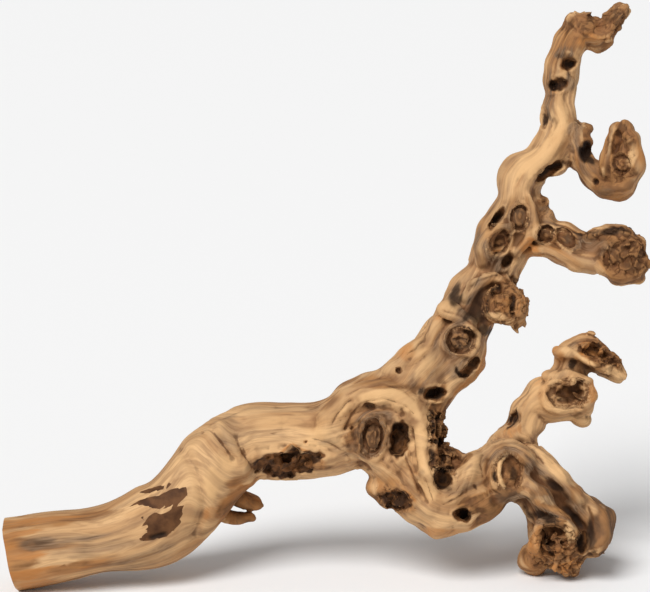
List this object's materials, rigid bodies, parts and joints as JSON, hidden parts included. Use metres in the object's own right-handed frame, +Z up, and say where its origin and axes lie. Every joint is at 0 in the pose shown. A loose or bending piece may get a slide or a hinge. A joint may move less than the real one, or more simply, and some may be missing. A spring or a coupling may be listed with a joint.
{
  "type": "piece of driftwood",
  "caption": "Gnarled, sandblasted vine driftwood with a sawn butt, burls, knots and hollows, standing on its own low points.",
  "frame": {"origin": "middle of the bounding box, on the surface that the wood stands on", "axes": "+X from the sawn butt towards the branching end, +Y away from the side that the picture shows, +Z up"},
  "size_m": [0.4782, 0.1608, 0.4237],
  "materials": {
    "vine_wood": "dry, sandblasted, matt, with grey-brown weathering and dark hollows"
  },
  "bodies": {
    "root": {"driftwood": "vine_wood"}
  },
  "joints": []
}
